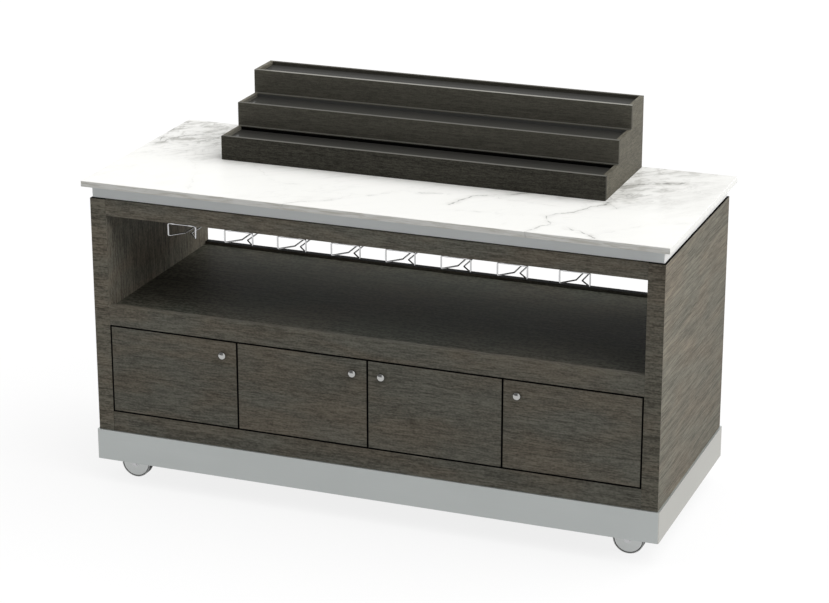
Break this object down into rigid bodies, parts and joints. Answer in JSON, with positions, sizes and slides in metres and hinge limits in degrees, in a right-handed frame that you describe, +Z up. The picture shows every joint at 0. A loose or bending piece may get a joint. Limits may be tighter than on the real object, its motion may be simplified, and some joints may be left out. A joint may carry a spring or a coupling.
{
  "type": "portable bar",
  "caption": "Rolling bar: stone counter, open bay with hanging stemware racks, hinged cupboard doors, metal skirt over swivel casters, and a lift-off stepped bottle riser.",
  "frame": {"origin": "on the floor under the middle of the stone top", "axes": "+Z up, X along the bar, -Y towards the bartender, whose side the doors face"},
  "size_m": [1.83, 0.75, 1.2083],
  "materials": {
    "white_stone": "polished white stone with faint grey veins",
    "black_plywood": "black-painted plywood and boards",
    "brushed_aluminium": "satin brushed",
    "dark_oak_laminate": "matt dark grey-brown wood-grain laminate",
    "riser_laminate": "matt dark wood-grain laminate",
    "brushed_steel_skirt": "fine brushed light grey sheet",
    "chrome_wire": "bright plated wire",
    "nickel_knob": "bright satin nickel",
    "zinc_steel": "zinc-plated steel",
    "grey_wheel": "light grey wheel with a dark tread"
  },
  "bodies": {
    "cabinet": {"stone_top": "white_stone", "sub_top": "black_plywood", "base_frame": "black_plywood", "trim_band": "brushed_aluminium", "side_left": "dark_oak_laminate", "side_right": "dark_oak_laminate", "front_top_rail": "dark_oak_laminate", "front_middle_rail": "dark_oak_laminate", "front_bottom_rail": "dark_oak_laminate", "rear_top_rail": "dark_oak_laminate", "rear_panel": "dark_oak_laminate", "ceiling_panel": "dark_oak_laminate", "bay_shelf": "dark_oak_laminate", "floor_panel": "dark_oak_laminate", "partition_left": "dark_oak_laminate", "partition_right": "dark_oak_laminate", "base_skirt": "brushed_steel_skirt", "stemware_rack_1": "chrome_wire", "stemware_rack_2": "chrome_wire", "stemware_rack_3": "chrome_wire", "stemware_rack_4": "chrome_wire", "stemware_rack_5": "chrome_wire", "stemware_rack_6": "chrome_wire", "stemware_rack_7": "chrome_wire", "stemware_rack_8": "chrome_wire", "caster_front_left_plate": "zinc_steel", "caster_front_right_plate": "zinc_steel", "caster_rear_left_plate": "zinc_steel", "caster_rear_right_plate": "zinc_steel"},
    "door_1_leaf": {"door_1": "dark_oak_laminate", "knob_1": "nickel_knob", "door_1_pivot_top": "zinc_steel", "door_1_pivot_bottom": "zinc_steel"},
    "door_2_leaf": {"door_2": "dark_oak_laminate", "knob_2": "nickel_knob", "door_2_pivot_top": "zinc_steel", "door_2_pivot_bottom": "zinc_steel"},
    "door_3_leaf": {"door_3": "dark_oak_laminate", "knob_3": "nickel_knob", "door_3_pivot_top": "zinc_steel", "door_3_pivot_bottom": "zinc_steel"},
    "door_4_leaf": {"door_4": "dark_oak_laminate", "knob_4": "nickel_knob", "door_4_pivot_top": "zinc_steel", "door_4_pivot_bottom": "zinc_steel"},
    "caster_front_left_swivel_body": {"caster_front_left_fork": "zinc_steel"},
    "caster_front_left_wheel_body": {"caster_front_left_wheel": "grey_wheel"},
    "caster_front_right_swivel_body": {"caster_front_right_fork": "zinc_steel"},
    "caster_front_right_wheel_body": {"caster_front_right_wheel": "grey_wheel"},
    "caster_rear_left_swivel_body": {"caster_rear_left_fork": "zinc_steel"},
    "caster_rear_left_wheel_body": {"caster_rear_left_wheel": "grey_wheel"},
    "caster_rear_right_swivel_body": {"caster_rear_right_fork": "zinc_steel"},
    "caster_rear_right_wheel_body": {"caster_rear_right_wheel": "grey_wheel"},
    "riser": {"riser_tier_1": "riser_laminate", "riser_tier_2": "riser_laminate", "riser_tier_3": "riser_laminate", "riser_cheek_left": "riser_laminate", "riser_cheek_right": "riser_laminate", "riser_back": "riser_laminate"}
  },
  "joints": [
    {"name": "door_1_hinge", "type": "hinge", "parent": "cabinet", "child": "door_1_leaf", "pos_m": [-0.832, -0.34225, 0.383], "axis": [0, 0, -1], "range_deg": [0, 95]},
    {"name": "door_2_hinge", "type": "hinge", "parent": "cabinet", "child": "door_2_leaf", "pos_m": [-0.4095, -0.34225, 0.383], "axis": [0, 0, -1], "range_deg": [0, 95]},
    {"name": "door_3_hinge", "type": "hinge", "parent": "cabinet", "child": "door_3_leaf", "pos_m": [0.4095, -0.34225, 0.383], "axis": [0, 0, 1], "range_deg": [0, 95]},
    {"name": "door_4_hinge", "type": "hinge", "parent": "cabinet", "child": "door_4_leaf", "pos_m": [0.832, -0.34225, 0.383], "axis": [0, 0, 1], "range_deg": [0, 95]},
    {"name": "caster_front_left_swivel", "type": "hinge", "parent": "cabinet", "child": "caster_front_left_swivel_body", "pos_m": [-0.7825, -0.27, 0.11], "axis": [0, 0, 1], "continuous": true},
    {"name": "caster_front_left_roll", "type": "hinge", "parent": "caster_front_left_swivel_body", "child": "caster_front_left_wheel_body", "pos_m": [-0.8125, -0.27, 0.048], "axis": [0, 1, 0], "continuous": true},
    {"name": "caster_front_right_swivel", "type": "hinge", "parent": "cabinet", "child": "caster_front_right_swivel_body", "pos_m": [0.7635, -0.27, 0.11], "axis": [0, 0, 1], "continuous": true},
    {"name": "caster_front_right_roll", "type": "hinge", "parent": "caster_front_right_swivel_body", "child": "caster_front_right_wheel_body", "pos_m": [0.7935, -0.27, 0.048], "axis": [0, 1, 0], "continuous": true},
    {"name": "caster_rear_left_swivel", "type": "hinge", "parent": "cabinet", "child": "caster_rear_left_swivel_body", "pos_m": [-0.7825, 0.27, 0.11], "axis": [0, 0, 1], "continuous": true},
    {"name": "caster_rear_left_roll", "type": "hinge", "parent": "caster_rear_left_swivel_body", "child": "caster_rear_left_wheel_body", "pos_m": [-0.8125, 0.27, 0.048], "axis": [0, 1, 0], "continuous": true},
    {"name": "caster_rear_right_swivel", "type": "hinge", "parent": "cabinet", "child": "caster_rear_right_swivel_body", "pos_m": [0.7635, 0.27, 0.11], "axis": [0, 0, 1], "continuous": true},
    {"name": "caster_rear_right_roll", "type": "hinge", "parent": "caster_rear_right_swivel_body", "child": "caster_rear_right_wheel_body", "pos_m": [0.7935, 0.27, 0.048], "axis": [0, 1, 0], "continuous": true},
    {"name": "riser_lift", "type": "slide", "parent": "cabinet", "child": "riser", "axis": [0, 0, 1], "range_m": [0, 0.3]}
  ]
}
